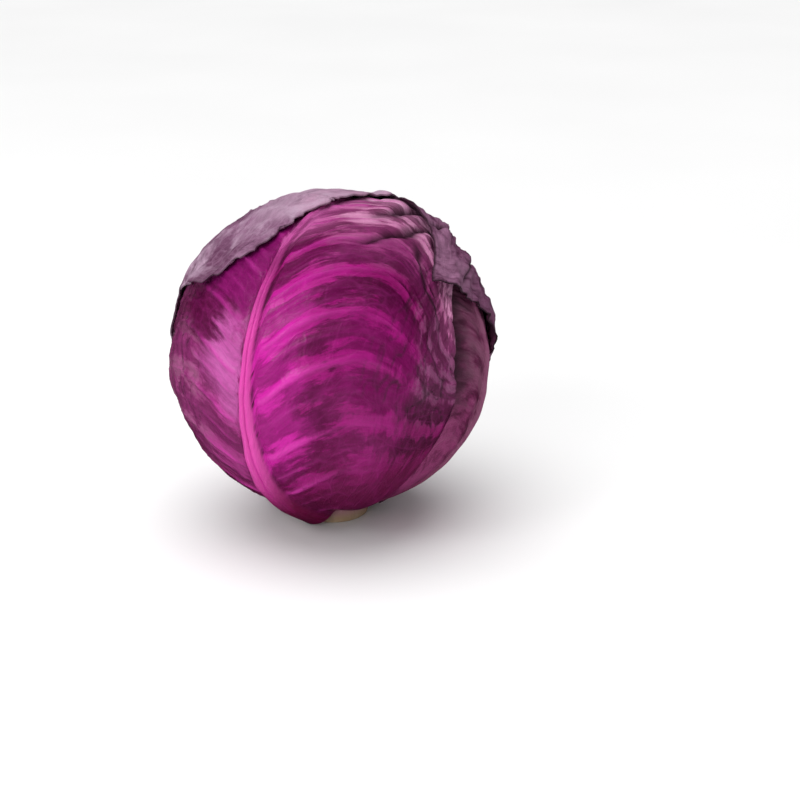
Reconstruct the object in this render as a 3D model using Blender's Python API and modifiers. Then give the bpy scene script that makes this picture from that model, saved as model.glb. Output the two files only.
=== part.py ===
"""A whole head of red cabbage, standing on the cut face of its stem.

The stem runs up inside the head as its core. The heart, a dense bud of inner leaves, sits on the
core, and six wrapper leaves lie over it, each over the ones laid before it. All sizes are in metres
and all angles in degrees.

A place on a leaf is given by two shares: along, from 0 at the stem to 1 at the top margin, and
across, from -1 at the left margin, through 0 on the midrib, to 1 at the right margin, as seen from
outside with the stem down.
"""

import math

import bmesh
import bpy
import numpy as np
from mathutils import Vector, noise
from mathutils.bvhtree import BVHTree

# The head, measured from its centre
CENTRE_HEIGHT = 0.0818  # of the centre over the cut face of the stem
HEART_RADIUS = 0.0722
HEART_TOP = 0.0655
HEART_BOTTOM = 0.0682
HEART_LEAN = 0.0014  # how much wider it is towards +X than towards -X
HEART_FULLNESS = 2.25  # below its girth. 2 is an ellipse, and more is fuller
HEART_DIMPLE = 0.0075  # the depth of the hollow that the stem grows out of
HEART_DIMPLE_WIDTH = 22.0
HEART_SEGMENTS = 32
HEART_RINGS = 18
HEART_LUMP = 0.0012  # how far the heart swells and dips
HEART_FOLD = 0.0014  # the step at each margin on the heart
HEART_FOLDS = 3
HEART_FOLD_TWIST = 0.55  # how far the folds turn round the axis from stem to crown

# The stem, with the core that it becomes inside the head
STEM_RADIUS = 0.0170
STEM_EDGE = 0.0012  # the bruised, rounded edge of the cut face
STEM_NECK = 0.0150  # height at which the stem becomes the core
CORE_RADIUS = 0.0145
CORE_HEIGHT = 0.0960
STEM_STEPS = 24
FIT_GAP = 0.0003  # between the core and its socket
BASE_GAP = 0.0008  # between the stem and the leaves round it

# Every wrapper leaf
BLADE = 0.0008  # thickness of the blade between its veins
VEINS = 11  # lateral veins on each side of the midrib
RIB_HEIGHT_BASE = 0.0052
RIB_HEIGHT_TIP = 0.0010
RIB_HALF_WIDTH_BASE = 8.0
RIB_HALF_WIDTH_TIP = 2.4
RIB_SHARE = 0.2  # the share of across that the rib takes
RIB_RISE = 10.0  # how far a lateral vein climbs inside the midrib
VEIN_ARCH = [0, 12, 21, 26, 21, 5, -15]  # its climb after that, at equal steps to the margin
VEIN_STAGGER = 0.25  # of a vein's spacing: how much higher the right veins leave the midrib
VEIN_HALF_WIDTH = 0.2  # of a vein's spacing
VEIN_JITTER = 0.12  # of a vein's spacing
STEM_HUG = 3.0  # how far the base bends round the stem
LEAF_GAP = 0.0004  # least clearance of a leaf over what it lies on
MARGIN_WIDTH = 0.34  # share of the leaf, in from the margin, that its ruffles lift
SCALLOP = 1.7  # how far the margin wanders in and out
TAUT_ROUNDS = 25
CLEAR_ROUNDS = 5
RISE_SPREADS = 6  # how many places away a raised corner draws its neighbours up
RISE_SLOPE = 0.35  # how fast that falls off
CLEAR_SAMPLES = 5  # steps along each edge of a triangle at which its clearance is measured
RIB_COLUMNS = [0.0, 0.42, 0.78, 1.0]
THICKEST = 1.3 * BLADE + RIB_HEIGHT_BASE
CENTRE = Vector((0.0, 0.0, CENTRE_HEIGHT))

# Colours as seen: the leaves, their waxy outer faces and the cut stem
PURPLE = (0.16, 0.012, 0.075, 1.0)
MAGENTA = (0.42, 0.02, 0.20, 1.0)
CREAM = (0.80, 0.66, 0.46, 1.0)

# From the innermost leaf to the outermost. azimuth is the midrib's, 0 towards -Y and 90 towards +X.
# base and tip are angles up the midrib from the bottom of the head. left and right are the half
# widths, in degrees, at equal steps from the stem to the top margin, and arch_left and arch_right
# say how much of VEIN_ARCH the veins there have. drop is how far the shoulders lie below the tip,
# ruffle how far the margin lifts, pucker how far the blade swells, vein how high its lateral veins
# stand and foot how far its base reaches down. A fine leaf has rows of faces on both sides of each
# lateral vein.
LEAVES = [
    {
        "name": "leaf_back", "azimuth": 176, "base": 14.5, "tip": 168, "drop": 3,
        "left": [13, 38, 56, 66, 70, 72, 68, 58, 42], "arch_left": 0.7,
        "right": [13, 38, 56, 66, 70, 72, 68, 58, 42], "arch_right": 0.7,
        "ruffle": 0.0012, "pucker": 0.0004, "vein": 0.0004, "foot": 0.0,
        "fine": False, "columns": 6, "seed": 11,
    },
    {
        "name": "leaf_left", "azimuth": -88, "base": 14.5, "tip": 168, "drop": 3,
        "left": [13, 38, 56, 66, 70, 72, 68, 58, 42], "arch_left": 0.7,
        "right": [13, 38, 56, 66, 69, 68, 65, 54, 40], "arch_right": 0.7,
        "ruffle": 0.0010, "pucker": 0.0004, "vein": 0.0004, "foot": 0.0,
        "fine": False, "columns": 6, "seed": 7,
    },
    {
        "name": "leaf_right", "azimuth": 85, "base": 14.5, "tip": 166, "drop": 3,
        "left": [13, 38, 56, 66, 70, 72, 68, 58, 42], "arch_left": 0.7,
        "right": [13, 38, 56, 66, 70, 72, 68, 58, 42], "arch_right": 0.7,
        "ruffle": 0.0010, "pucker": 0.0004, "vein": 0.0006, "foot": 0.0,
        "fine": False, "columns": 6, "seed": 3,
    },
    {
        "name": "leaf_front", "azimuth": -29, "base": 14.5, "tip": 212, "drop": 0,
        "left": [13, 49, 66, 72, 73, 68, 57, 46, 36], "arch_left": 0.55,
        "right": [14, 57, 73, 76, 76, 73, 66, 55, 40], "arch_right": 1.0,
        "ruffle": 0.0030, "pucker": 0.0006, "vein": 0.0014, "foot": 0.0045,
        "fine": True, "columns": 8, "seed": 21,
    },
    {
        "name": "leaf_back_right", "azimuth": 128, "base": 14.5, "tip": 152, "drop": -14,
        "left": [12, 14, 16, 19, 26, 37, 44, 50, 50], "arch_left": 0.7,
        "right": [13, 50, 64, 69, 69, 66, 62, 57, 50], "arch_right": 0.7,
        "ruffle": 0.0022, "pucker": 0.0020, "vein": 0.0013, "foot": 0.0,
        "fine": True, "columns": 8, "seed": 32,
    },
    {
        "name": "leaf_back_left", "azimuth": -135, "base": 14.5, "tip": 183.5, "drop": 3,
        "left": [13, 42, 59, 66, 69, 69, 66, 57, 38], "arch_left": 0.7,
        "right": [13, 26, 32, 34, 34, 37, 48, 50, 37], "arch_right": 0.7,
        "ruffle": 0.0026, "pucker": 0.0006, "vein": 0.0013, "foot": 0.0,
        "fine": True, "columns": 8, "seed": 44,
    },
]


def clear_scene():
    for old in list(bpy.data.objects):
        bpy.data.objects.remove(old, do_unlink=True)


def material(name, colour, roughness):
    made = bpy.data.materials.new(name)
    made.use_nodes = True
    shader = made.node_tree.nodes["Principled BSDF"]
    shader.inputs["Base Color"].default_value = colour
    shader.inputs["Roughness"].default_value = roughness
    shader.inputs["Metallic"].default_value = 0.0
    made.diffuse_color = colour
    return made


def collection(name, cutters=False):
    made = bpy.data.collections.new(name)
    made.hide_render = cutters
    bpy.context.scene.collection.children.link(made)
    return made


def add_object(name, mesh, home, finish):
    made = bpy.data.objects.new(name, mesh)
    mesh.materials.append(finish)
    home.objects.link(made)
    return made


def mix(low, high, share):
    return low + (high - low) * share


def smooth_step(value):
    value = min(max(value, 0.0), 1.0)
    return value * value * (3.0 - 2.0 * value)


def through(stations, share):
    """A smooth curve through values at equal steps, read at a share from 0 to 1."""
    place = min(max(share, 0.0), 1.0) * (len(stations) - 1)
    i = min(int(place), len(stations) - 2)
    before, after = stations[max(i - 1, 0)], stations[min(i + 2, len(stations) - 1)]
    a, b, x = stations[i], stations[i + 1], place - i
    slope_a, slope_b = (b - before) / 2.0, (after - a) / 2.0
    return (
        a * (2 * x**3 - 3 * x**2 + 1)
        + slope_a * (x**3 - 2 * x**2 + x)
        + b * (3 * x**2 - 2 * x**3)
        + slope_b * (x**3 - x**2)
    )


def heart_radius(direction):
    """The heart's radius in a direction: an egg with soft lumps, and folds where its own leaves overlap."""
    half_height, power = (HEART_TOP, 2.0) if direction.z > 0 else (HEART_BOTTOM, HEART_FULLNESS)
    flat = math.hypot(direction.x, direction.y) / HEART_RADIUS
    radius = (flat**power + abs(direction.z / half_height) ** power) ** (-1.0 / power)
    lump = HEART_LUMP * noise.noise(direction * 1.8)
    turn = math.atan2(direction.x, -direction.y) / (2.0 * math.pi) + 1.0
    fold = (turn * HEART_FOLDS + direction.z * HEART_FOLD_TWIST) % 1.0
    away_from_poles = 1.0 - direction.z**4
    from_stem = math.degrees(direction.angle(Vector((0.0, 0.0, -1.0)))) / HEART_DIMPLE_WIDTH
    dimple = HEART_DIMPLE * math.exp(-(from_stem**2))
    return radius + lump + HEART_LEAN * direction.x - dimple - HEART_FOLD * fold * away_from_poles


def make_heart(home, finish):
    mesh = bpy.data.meshes.new("heart")
    ball = bmesh.new()
    bmesh.ops.create_uvsphere(ball, u_segments=HEART_SEGMENTS, v_segments=HEART_RINGS, radius=1.0)
    for vertex in ball.verts:
        direction = vertex.co.normalized()
        vertex.co = CENTRE + direction * heart_radius(direction)
    bmesh.ops.triangulate(ball, faces=ball.faces)
    ball.to_mesh(mesh)
    ball.free()
    return add_object("heart", mesh, home, finish)


def make_turned(name, profile, home, finish):
    """A turned solid. The profile is a list of (radius, height) points from top to bottom."""
    mesh = bpy.data.meshes.new(name)
    line = bmesh.new()
    points = [line.verts.new((radius, 0.0, height)) for radius, height in profile]
    for first, second in zip(points, points[1:]):
        line.edges.new((first, second))
    line.to_mesh(mesh)
    line.free()
    made = add_object(name, mesh, home, finish)
    screw = made.modifiers.new("turn", "SCREW")
    screw.axis = "Z"
    screw.steps = STEM_STEPS
    screw.render_steps = STEM_STEPS
    screw.use_merge_vertices = True
    screw.merge_threshold = 0.00005
    return made


def stem_profile(grow):
    """The stem and its core, top to bottom. grow makes it thicker all round, for the socket it sits in."""
    taper = [(share, mix(CORE_RADIUS, CORE_RADIUS * 0.55, share)) for share in (0.85, 0.6, 0.3)]
    core = [(radius + grow, mix(STEM_NECK, CORE_HEIGHT, share)) for share, radius in taper]
    return [
        (0.0, CORE_HEIGHT + grow),
        (CORE_RADIUS * 0.32 + grow, CORE_HEIGHT * 0.975 + grow),
        *core,
        (CORE_RADIUS + grow, STEM_NECK + grow),
        (STEM_RADIUS + grow, STEM_NECK * 0.55),
        (STEM_RADIUS + grow, STEM_EDGE - grow),
        (STEM_RADIUS - STEM_EDGE, -grow),
        (0.0, -grow),
    ]


def direction_on_leaf(leaf, up_midrib, aside):
    """The direction from the head's centre to a place: up the midrib from the bottom, then aside."""
    azimuth, up, side = (math.radians(angle) for angle in (leaf["azimuth"], up_midrib, aside))
    outward = Vector((math.sin(azimuth), -math.cos(azimuth), 0.0))
    rightward = Vector((math.cos(azimuth), math.sin(azimuth), 0.0))
    on_midrib = outward * math.sin(up) - Vector((0.0, 0.0, 1.0)) * math.cos(up)
    return on_midrib * math.cos(side) + rightward * math.sin(side)


def waver(leaf, place, rate):
    """A smooth random run of values about 0, different for each leaf."""
    return noise.noise(Vector((place * rate, leaf["seed"] * 3.7, 0.5)))


def leaf_angles(leaf, along, across):
    """The two angles of a place on a leaf. Lines of equal along follow the lateral veins."""
    reach = abs(across)
    half = "right" if across > 0 else "left"
    scallop = SCALLOP * smooth_step(along * 4.0)
    width = through(leaf[half], along)
    width += scallop * waver(leaf, along + (2.0 if across > 0 else 0.0), 9.0)
    rib = mix(RIB_HALF_WIDTH_BASE, RIB_HALF_WIDTH_TIP, along**0.6)
    from_rib = max(0.0, (reach - RIB_SHARE) / (1.0 - RIB_SHARE))
    aside = mix(rib, width, from_rib) if from_rib else rib * reach / RIB_SHARE
    stagger = math.copysign(VEIN_STAGGER, across) * leaf["tip"] / VEINS
    climb = (RIB_RISE + stagger) * smooth_step(reach / RIB_SHARE)
    climb += leaf["arch_" + half] * through(VEIN_ARCH, from_rib)
    climb *= math.sin(math.pi * along)
    shoulder = leaf["drop"] * along**2 * reach**3
    hug = STEM_HUG * (1.0 - along) ** 8 * reach**2
    top_wave = SCALLOP * along**6 * waver(leaf, across + 5.0, 4.0)
    up = mix(leaf["base"], leaf["tip"], along) + climb - shoulder - hug + top_wave
    return up, math.copysign(aside, across)


def vein_places(leaf):
    """The shares along at which the lateral veins leave the midrib."""
    return [(k + 0.5 + VEIN_JITTER * waver(leaf, k + 0.5, 1.9)) / VEINS for k in range(VEINS)]


def vein_relief(leaf, along, across):
    """1 on the crest of a lateral vein, falling to 0 between veins and, more slowly, towards the margin."""
    from_vein = min(abs(along - place) for place in vein_places(leaf)) * VEINS / VEIN_HALF_WIDTH
    return math.exp(-(from_vein**2) * 1.4) * (1.0 - 0.75 * abs(across))


def leaf_thickness(leaf, along, across):
    """The leaf's thickness: blade, lateral veins and the midrib, which is a broad pale rib at the stem."""
    reach = abs(across)
    base = BLADE * (1.0 + 0.3 * (1.0 - along) ** 12)
    if reach < RIB_SHARE:
        rib = mix(RIB_HEIGHT_TIP, RIB_HEIGHT_BASE, (1.0 - along) ** 1.6)
        return base + rib * math.cos(0.5 * math.pi * reach / RIB_SHARE)
    ends = math.sin(math.pi * along) ** 0.5
    return base + leaf["vein"] * vein_relief(leaf, along, across) * ends


def lift(leaf, along, across, direction):
    """How far the leaf stands off what it rests on: its margin in waves, and the blade in swellings."""
    from_margin = min(1.0 - abs(across), 1.0 - along)
    edge = smooth_step(1.0 - from_margin / MARGIN_WIDTH) * smooth_step(along * 3.0)
    wave = noise.noise(direction * 5.0 + Vector((leaf["seed"], 0.0, 0.0)))
    swelling = noise.noise(direction * 7.5 + Vector((0.0, leaf["seed"], 0.0)))
    middle = smooth_step(along * 5.0)
    foot = leaf["foot"] * (1.0 - along) ** 20 * (1.0 - abs(across)) ** 2
    waved = leaf["ruffle"] * edge * (0.2 + max(wave, 0.0) * 2.6)
    return foot + waved + leaf["pucker"] * middle * (0.5 + swelling)


def resting_radius(direction, spread, laid):
    """The largest radius that what is already laid has near a direction, within a cone of this half angle."""
    across_one = direction.orthogonal().normalized()
    across_two = direction.cross(across_one)
    far = 2.0 * HEART_RADIUS
    largest = 0.0
    for ring in (0.0, 0.5, 1.0):
        for turn in range(8 if ring else 1):
            angle = math.pi * turn / 4.0
            aside = across_one * math.cos(angle) + across_two * math.sin(angle)
            ray = (direction + aside * math.tan(spread * ring)).normalized()
            hit = laid["tree"].ray_cast(CENTRE + ray * far, -ray, far)
            if hit[0] is not None:
                largest = max(largest, far - hit[3])
    return largest


def pull_taut(radii):
    """Each place goes to the mean of its neighbours, but never below what it rests on."""
    least = radii.copy()
    for _ in range(TAUT_ROUNDS):
        padded = np.pad(radii, 1, mode="edge")
        mean = (padded[:-2, 1:-1] + padded[2:, 1:-1] + padded[1:-1, :-2] + padded[1:-1, 2:]) / 4.0
        radii = np.maximum(least, mean)
    return radii


def shortfalls(sheet, laid):
    """How much each corner of a sheet has to rise, so that no place on its faces is too near what is laid."""
    far = 2.0 * HEART_RADIUS
    n = CLEAR_SAMPLES
    shares = [(i / n, j / n, (n - i - j) / n) for i in range(n + 1) for j in range(n + 1 - i)]
    rise = [0.0] * len(sheet.verts)

    def raise_face(face, short):
        for vertex in face.verts:
            rise[vertex.index] = max(rise[vertex.index], short)

    for face in sheet.faces:
        one, two, three = (vertex.co for vertex in face.verts)
        for a, b, c in shares:
            place = one * a + two * b + three * c - CENTRE
            ray = place.normalized()
            hit = laid["tree"].ray_cast(CENTRE + ray * far, -ray, far)
            if hit[0] is not None:
                raise_face(face, far - hit[3] + LEAF_GAP - place.length)
    sheet_tree = BVHTree.FromBMesh(sheet)
    for point in laid["points"]:
        out = point - CENTRE
        hit = sheet_tree.ray_cast(CENTRE, out.normalized())
        if hit[0] is not None:
            raise_face(sheet.faces[hit[2]], out.length + LEAF_GAP - hit[3])
    return rise


def lift_clear(sheet, laid):
    """Raises the corners of each triangle that comes too near what is laid."""
    sheet.faces.ensure_lookup_table()
    for _ in range(CLEAR_ROUNDS):
        rise = shortfalls(sheet, laid)
        if max(rise) < LEAF_GAP * 0.1:
            break
        for _ in range(RISE_SPREADS):
            for edge in sheet.edges:
                one, two = (vertex.index for vertex in edge.verts)
                fall = RISE_SLOPE * edge.calc_length()
                rise[one] = max(rise[one], rise[two] - fall)
                rise[two] = max(rise[two], rise[one] - fall)
        for vertex in sheet.verts:
            out = vertex.co - CENTRE
            vertex.co = CENTRE + out * (1.0 + rise[vertex.index] / out.length)


def clear_stem(place):
    """Moves a place that is too near the stem straight out to the stem's side."""
    from_axis = math.hypot(place.x, place.y)
    outward = max(1.0, (STEM_RADIUS + BASE_GAP) / from_axis) if place.z < CENTRE_HEIGHT else 1.0
    return Vector((place.x * outward, place.y * outward, place.z))


def leaf_places(leaf):
    """The grid of a leaf: shares along, from stem to top margin, and across, from left to right."""
    beside = VEIN_HALF_WIDTH / VEINS
    along = [0.0]
    for place in vein_places(leaf):
        along += [place - beside, place, place + beside] if leaf["fine"] else [place, place + 0.5 / VEINS]
    along[-1] = 1.0
    rib = [RIB_SHARE * share for share in RIB_COLUMNS]
    steps = [step / leaf["columns"] for step in range(1, leaf["columns"] + 1)]
    blade = [RIB_SHARE + (1.0 - RIB_SHARE) * step**0.85 for step in steps]
    half = rib + blade
    return along, [-share for share in reversed(half[1:])] + half


def make_leaf(leaf, laid, home, finish):
    """A leaf laid over what is there: a sheet for its inner face, which then grows outwards."""
    along, across = leaf_places(leaf)
    directions = [[direction_on_leaf(leaf, *leaf_angles(leaf, a, c)) for c in across] for a in along]
    radii = np.zeros((len(along), len(across)))
    for i, row in enumerate(directions):
        for j, direction in enumerate(row):
            near = [row[max(j - 1, 0)], row[min(j + 1, len(across) - 1)]]
            near += [directions[max(i - 1, 0)][j], directions[min(i + 1, len(along) - 1)][j]]
            spread = max(direction.angle(other) for other in near) * 0.7
            radii[i, j] = resting_radius(direction, spread, laid) + LEAF_GAP
    radii = pull_taut(radii)

    mesh = bpy.data.meshes.new(leaf["name"])
    sheet = bmesh.new()
    bmesh.ops.create_grid(sheet, x_segments=len(across) - 1, y_segments=len(along) - 1, size=1.0)
    sheet.verts.ensure_lookup_table()
    weights = []
    for k, vertex in enumerate(sheet.verts):
        i, j = divmod(k, len(across))
        direction = directions[i][j]
        radius = radii[i, j] + lift(leaf, along[i], across[j], direction)
        vertex.co = clear_stem(CENTRE + direction * radius)
        weights.append(leaf_thickness(leaf, along[i], across[j]) / THICKEST)
    bmesh.ops.triangulate(sheet, faces=sheet.faces)
    lift_clear(sheet, laid)
    sheet.to_mesh(mesh)
    sheet.free()
    mesh.shade_smooth()

    made = add_object(leaf["name"], mesh, home, finish)
    group = made.vertex_groups.new(name="thickness")
    for k, weight in enumerate(weights):
        group.add([k], weight, "REPLACE")
    solidify = made.modifiers.new("thickness", "SOLIDIFY")
    solidify.thickness = THICKEST
    solidify.offset = 1.0
    solidify.vertex_group = group.name
    return made


def outside_of(made_so_far):
    """Everything laid so far, as one surface to measure against."""
    bpy.context.view_layer.update()
    graph = bpy.context.evaluated_depsgraph_get()
    points = []
    faces = []
    for made in made_so_far:
        shape = made.evaluated_get(graph)
        mesh = shape.to_mesh()
        mesh.calc_loop_triangles()
        first = len(points)
        points += [vertex.co.copy() for vertex in mesh.vertices]
        faces += [tuple(first + i for i in triangle.vertices) for triangle in mesh.loop_triangles]
        shape.to_mesh_clear()
    return {"tree": BVHTree.FromPolygons(points, faces), "points": points}


def main():
    clear_scene()
    cabbage = collection("red_cabbage")
    cutters = collection("cutters", cutters=True)
    leaf_skin = material("leaf_skin", PURPLE, 0.5)
    heart_skin = material("heart_skin", MAGENTA, 0.5)
    stem_flesh = material("stem_flesh", CREAM, 0.65)

    make_turned("stem", stem_profile(0.0), cabbage, stem_flesh)
    socket = make_turned("socket_cutter", stem_profile(FIT_GAP), cutters, stem_flesh)
    socket.hide_render = True
    socket.display_type = "WIRE"

    heart = make_heart(cabbage, heart_skin)
    laid = [heart]
    for leaf in LEAVES:
        laid.append(make_leaf(leaf, outside_of(laid), cabbage, leaf_skin))

    cut = heart.modifiers.new("socket", "BOOLEAN")
    cut.operation = "DIFFERENCE"
    cut.solver = "EXACT"
    cut.object = socket


main()
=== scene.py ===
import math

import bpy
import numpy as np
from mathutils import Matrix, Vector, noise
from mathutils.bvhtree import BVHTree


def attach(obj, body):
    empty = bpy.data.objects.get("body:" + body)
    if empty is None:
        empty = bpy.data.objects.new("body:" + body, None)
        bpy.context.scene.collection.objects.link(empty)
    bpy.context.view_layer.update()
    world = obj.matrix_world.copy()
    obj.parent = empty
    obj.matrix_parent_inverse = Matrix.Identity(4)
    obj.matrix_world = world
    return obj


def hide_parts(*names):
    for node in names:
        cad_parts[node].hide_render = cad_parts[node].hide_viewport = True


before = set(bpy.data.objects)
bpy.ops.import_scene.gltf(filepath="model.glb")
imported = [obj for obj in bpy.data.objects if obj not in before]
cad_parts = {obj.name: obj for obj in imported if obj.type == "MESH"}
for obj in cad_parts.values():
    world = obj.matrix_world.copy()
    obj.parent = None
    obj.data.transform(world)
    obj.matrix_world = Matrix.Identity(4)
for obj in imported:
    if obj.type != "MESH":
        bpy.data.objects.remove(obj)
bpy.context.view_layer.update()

# A whole head of red cabbage. Six wrapper leaves with their veins lie over the heart, and the cut stem is
# under it. A place on a leaf is given by along, from 0 at the stem to 1 at the top margin, and across, from
# -1 at the left margin, through 0 on the midrib, to 1 at the right margin. Reach is how far across it is, on
# either side. Sizes are in metres and angles in degrees.

# The head
CENTRE = Vector((0.0, 0.0, 0.0818))
HEART_RADIUS = 0.0714
HEART_TOP = 0.0694
HEART_BOTTOM = 0.0680
HEART_LEAN = 0.0014
HEART_FULLNESS = 2.25  # below its girth
HEART_DIMPLE = 0.0075
HEART_DIMPLE_WIDTH = 22.0
HEART_LUMP = 0.0012
HEART_FOLD = 0.0014
HEART_FOLDS = 3
HEART_FOLD_TWIST = 0.55
HEART_SEGMENTS = 160
HEART_RINGS = 96
FAR = 0.2  # from the centre, well outside the head

# The stem and the core that it becomes inside the head
STEM_RADIUS = 0.0170
STEM_EDGE = 0.0012
STEM_NECK = 0.0150
CORE_RADIUS = 0.0145
CORE_HEIGHT = 0.0960
STEM_SEGMENTS = 96
SOCKET_SEGMENTS = 48
SCAR_DEPTH = 0.0004
SCARS = 6
FIT_GAP = 0.0003
BASE_GAP = 0.0008

# Every leaf
BLADE = 0.0009
VEINS = 11
RIB_HEIGHT_BASE = 0.0052
RIB_HEIGHT_TIP = 0.0010
RIB_HALF_WIDTH_BASE = 8.0
RIB_HALF_WIDTH_TIP = 2.4
RIB_SHARE = 0.2
RIB_RISE = 10.0
VEIN_ARCH = [0, 12, 21, 26, 21, 5, -15]
VEIN_STAGGER = 0.25
VEIN_JITTER = 0.12
STEM_HUG = 3.0
LEAF_GAP = 0.0004
MARGIN_WIDTH = 0.34
SCALLOP = 1.7
FOOT_THICKENING = 0.3
THICKEST = (1.0 + FOOT_THICKENING) * BLADE + RIB_HEIGHT_BASE
RIB_COLUMNS = 13
BRIM_HEIGHT = 0.0004
LIP_WIDTH = 0.0075  # how far a crease's lips reach from it
BASE = 14.5  # where every leaf starts, up the midrib from the bottom of the head
ACROSS_LENGTH = 0.080  # about how far a leaf goes from its midrib to its margin
DEGREE_LENGTH = 0.0014  # about how far a degree is on the head's surface

# What a leaf has unless its own numbers say otherwise.
# azimuth and tip say where its midrib starts and ends, and drop how far its top corners fall. left and right
# are its half-widths at equal steps up the midrib, and arch_left and arch_right bend the lateral veins. frill
# and ruffle are the waves of its margin, and pucker, folds, crumple and wrinkles (left, right) are in the
# blade, with painted shade in the wrinkles' valleys. foot is how far it bulges above the stem, curl_right and
# pocket lift its right margin, snug holds its margins down, and rim_shade is how much painted shade darkens
# them, standing in for the shade in the gap under them. Each of its shade_lines is its line, as places across
# and along, the width of the painted shade along it, and the height of the lips it raises where the blade is
# creased, 0 where there is only painted shade.
PLAIN = {
    "arch_left": 0.7, "arch_right": 0.7, "frill": 0.5, "folds": 0.0, "crumple": 0.0, "wrinkles": (0.0, 0.0),
    "foot": 0.0, "curl_right": 0.0, "pocket": 0.0, "snug": 0.8, "rim_shade": 0.2, "shade_lines": [],
}
WIDE = [13, 38, 56, 66, 70, 72, 68, 58, 42]

# From the innermost leaf to the outermost
LEAVES = [
    {
        **PLAIN, "name": "leaf_back", "azimuth": 176, "tip": 168, "drop": 3, "seed": 11,
        "rows": 120, "columns": 56, "left": WIDE, "right": WIDE,
        "ruffle": 0.0012, "pucker": 0.0004, "vein": 0.0006,
    },
    {
        **PLAIN, "name": "leaf_left", "azimuth": -88, "tip": 168, "drop": 3, "seed": 7,
        "rows": 120, "columns": 56, "left": WIDE, "right": [13, 38, 56, 66, 69, 68, 65, 54, 40],
        "ruffle": 0.0010, "pucker": 0.0004, "vein": 0.0006,
    },
    {
        **PLAIN, "name": "leaf_right", "azimuth": 85, "tip": 166, "drop": 3, "seed": 3,
        "rows": 160, "columns": 74, "left": WIDE, "right": WIDE,
        "ruffle": 0.0010, "pucker": 0.0006, "vein": 0.0008,
        # A band of painted shade beside the front leaf's raised right margin, with no crease under it
        "shade_lines": [
            ([(-0.28, 0.70), (-0.44, 0.60), (-0.52, 0.50), (-0.57, 0.40), (-0.68, 0.28)], 0.0115, 0.0),
        ],
    },
    {
        **PLAIN, "name": "leaf_front", "azimuth": -29, "tip": 212, "drop": 0, "seed": 21,
        "rows": 205, "columns": 86,
        "left": [13, 49, 66, 72, 73, 68, 57, 46, 36], "arch_left": 0.55,
        "right": [14, 57, 73, 76, 76, 73, 66, 55, 40], "arch_right": 1.0,
        "ruffle": 0.0016, "pucker": 0.0008, "vein": 0.0017, "foot": 0.0045, "frill": 0.6,
        "folds": 0.0015, "curl_right": 0.0024, "snug": 0.3, "wrinkles": (0.0011, 0.0005),
        # Two creases with raised lips and painted shade along them, then a line of painted shadow under the
        # crumpled leaf's margin
        "shade_lines": [
            ([(0.38, 0.69), (0.44, 0.73), (0.46, 0.83), (0.52, 0.92), (0.59, 1.0)], 0.0024, 0.0022),
            ([(0.42, 0.575), (0.48, 0.60), (0.53, 0.64), (0.58, 0.77), (0.70, 0.88)], 0.0024, 0.0022),
            ([(0.56, 0.66), (0.66, 0.61), (0.74, 0.575), (0.80, 0.585), (0.90, 0.61)], 0.0020, 0.0),
        ],
    },
    {
        **PLAIN, "name": "leaf_back_right", "azimuth": 128, "tip": 152, "drop": -14, "seed": 32,
        "rows": 180, "columns": 86,
        "left": [12, 14, 16, 19, 26, 37, 44, 50, 50], "right": [13, 50, 64, 69, 69, 66, 62, 57, 50],
        "ruffle": 0.0014, "pucker": 0.0012, "vein": 0.0010, "frill": 0.9, "crumple": 0.0020,
        "snug": 0.7, "rim_shade": 0.95,
        # Creases with raised lips and painted shade along them
        "shade_lines": [
            ([(-0.57, 1.0), (-0.56, 0.88), (-0.46, 0.72)], 0.0014, 0.0018),
            ([(-0.95, 0.86), (-0.82, 0.80), (-0.72, 0.68), (-0.60, 0.62)], 0.0011, 0.0012),
        ],
    },
    {
        **PLAIN, "name": "leaf_back_left", "azimuth": -135, "tip": 183.5, "drop": 3, "seed": 44,
        "rows": 190, "columns": 86,
        "left": [13, 42, 59, 66, 69, 69, 66, 57, 38], "right": [13, 26, 32, 34, 34, 37, 48, 50, 37],
        "ruffle": 0.0008, "pucker": 0.0010, "vein": 0.0009, "frill": 2.4, "crumple": 0.0003,
        "snug": 1.0, "pocket": 0.0034, "rim_shade": 0.45,
    },
]


# ---- Numbers over a whole leaf at once ----

def mix(low, high, share):
    return low + (high - low) * share


def smooth(value, low=0.0, high=1.0):
    """Goes smoothly from 0 to 1 as the value goes from low to high, which may also be below low."""
    value = np.clip((value - low) / (high - low), 0.0, 1.0)
    return value * value * (3.0 - 2.0 * value)


def through(stations, share):
    """A smooth curve through values at equal steps, read at shares from 0 to 1."""
    stations = np.asarray(stations, float)
    place = np.clip(share, 0.0, 1.0) * (len(stations) - 1)
    i = np.minimum(place.astype(int), len(stations) - 2)
    before, after = stations[np.maximum(i - 1, 0)], stations[np.minimum(i + 2, len(stations) - 1)]
    a, b, x = stations[i], stations[i + 1], place - i
    slope_a, slope_b = (b - before) / 2.0, (after - a) / 2.0
    return (
        a * (2 * x**3 - 3 * x**2 + 1)
        + slope_a * (x**3 - 2 * x**2 + x)
        + b * (3 * x**2 - 2 * x**3)
        + slope_b * (x**3 - x**2)
    )


def noise_at(places):
    """Smooth random values about 0 at an array of places."""
    flat = places.reshape(-1, 3)
    return np.array([noise.noise(place) for place in flat.tolist()]).reshape(places.shape[:-1])


def waver(leaf, place, rate):
    """A smooth random run of values about 0, different for each leaf."""
    place = np.asarray(place, float)
    fixed = np.ones_like(place)
    return noise_at(np.stack([place * rate, fixed * leaf["seed"] * 3.7, fixed * 0.5], axis=-1))


# ---- The shape of the heart and of a leaf ----

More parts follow.
